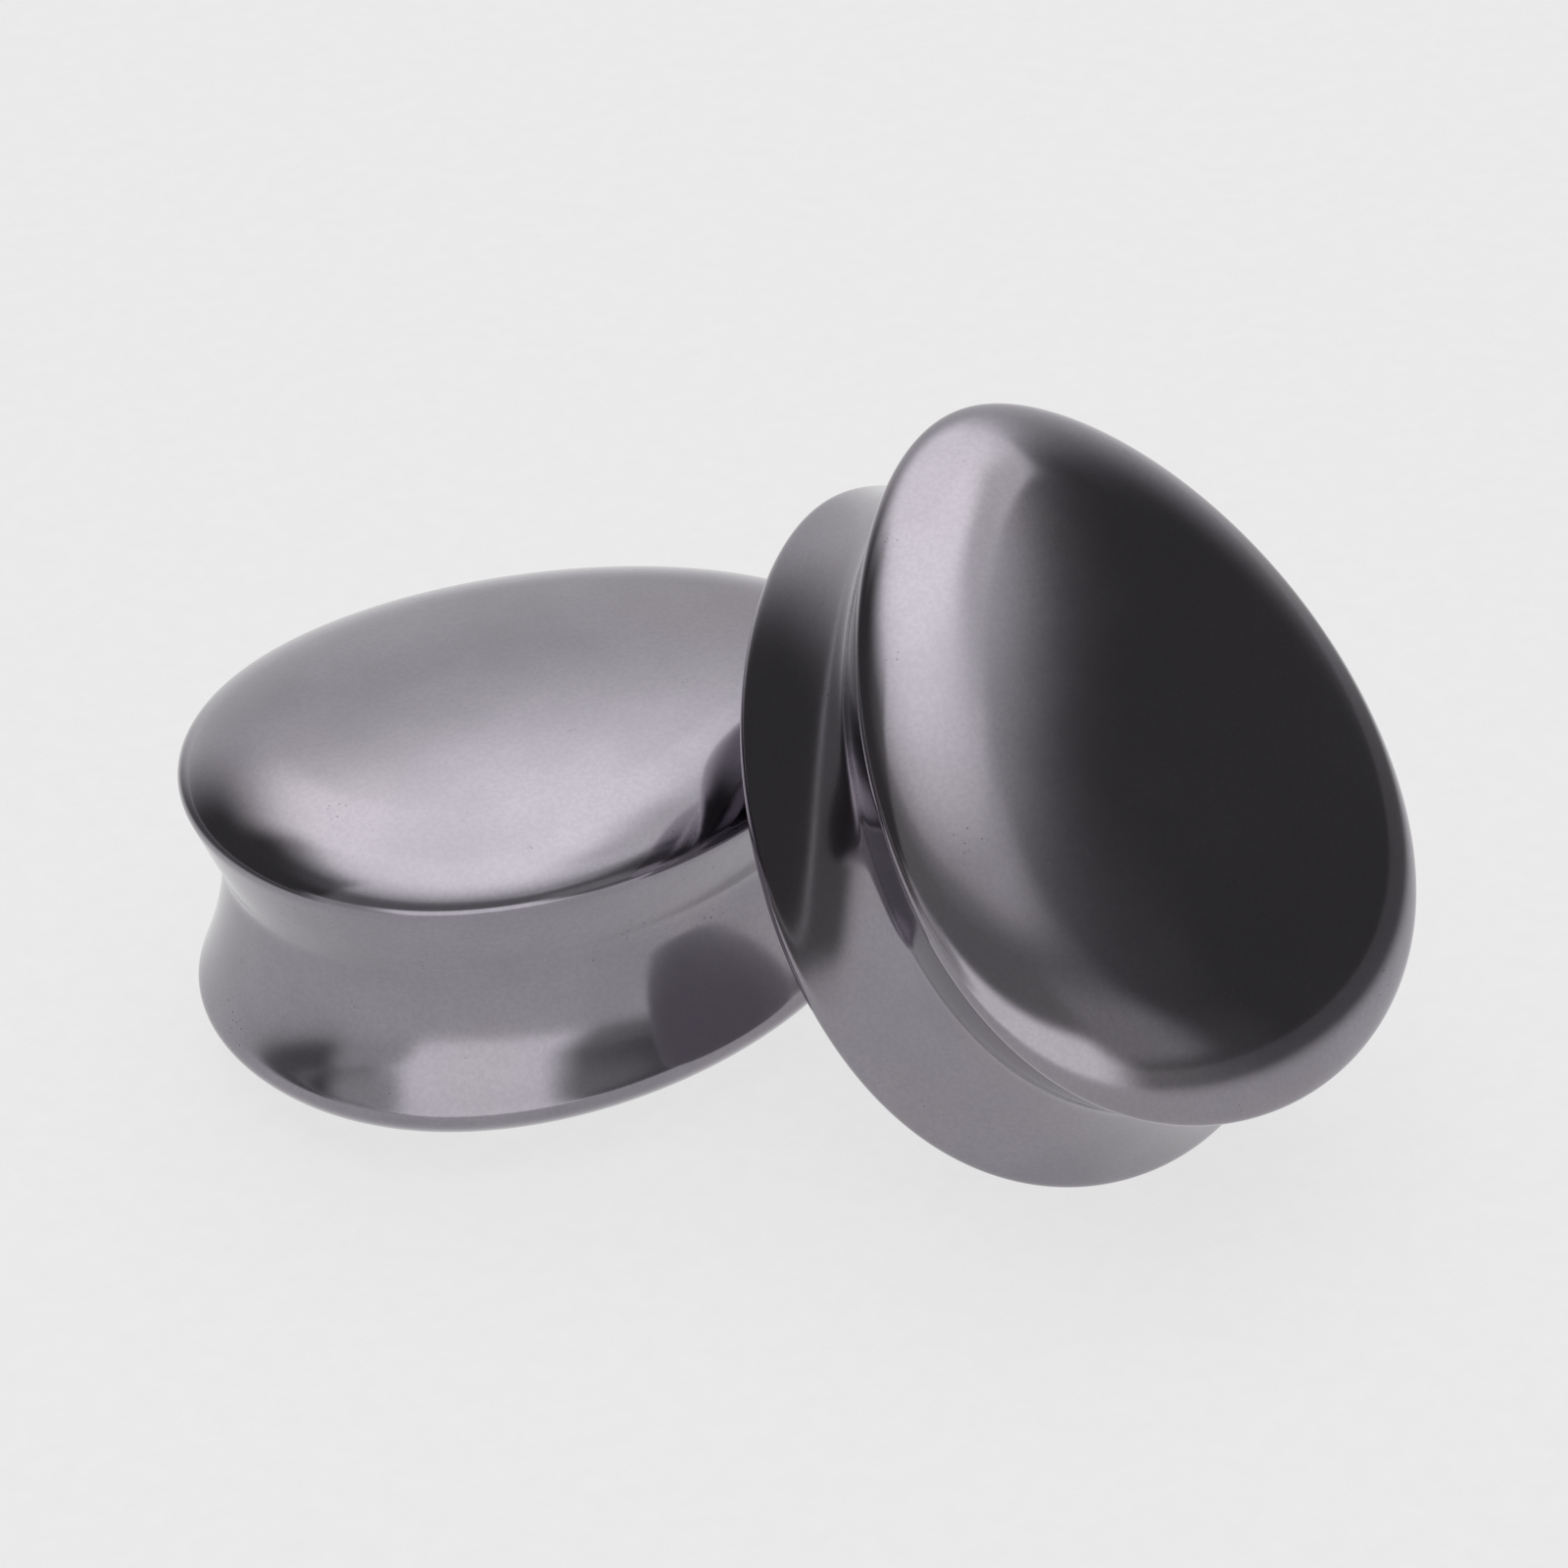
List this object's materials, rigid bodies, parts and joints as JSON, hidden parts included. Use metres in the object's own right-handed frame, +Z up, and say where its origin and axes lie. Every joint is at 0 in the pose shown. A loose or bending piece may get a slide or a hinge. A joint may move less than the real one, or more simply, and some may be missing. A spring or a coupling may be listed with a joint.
{
  "type": "polished stone teardrop plugs",
  "caption": "Matched mirror-polished dark stone teardrop plugs with domed faces, rounded rims and a concave waist for the ear lobe, set down with one leaning on the other.",
  "frame": {"origin": "centre of the flat land on the lying plug's back dome, where that plug rests", "axes": "+Z up from the resting surface, +X along the lying plug's long axis to its narrow end, the leaning plug on the -Y side"},
  "size_m": [0.0384, 0.0395, 0.0268],
  "materials": {
    "polished_hematite": "mirror polished, metallic dark grey, faint polishing lines"
  },
  "bodies": {
    "lying_plug": {"lying_plug": "polished_hematite"},
    "leaning_plug": {"leaning_plug": "polished_hematite"}
  },
  "joints": [
    {"name": "leaning_plug_lift", "type": "slide", "parent": "lying_plug", "child": "leaning_plug", "axis": [0, 0, 1], "range_m": [0, 0.03]}
  ]
}
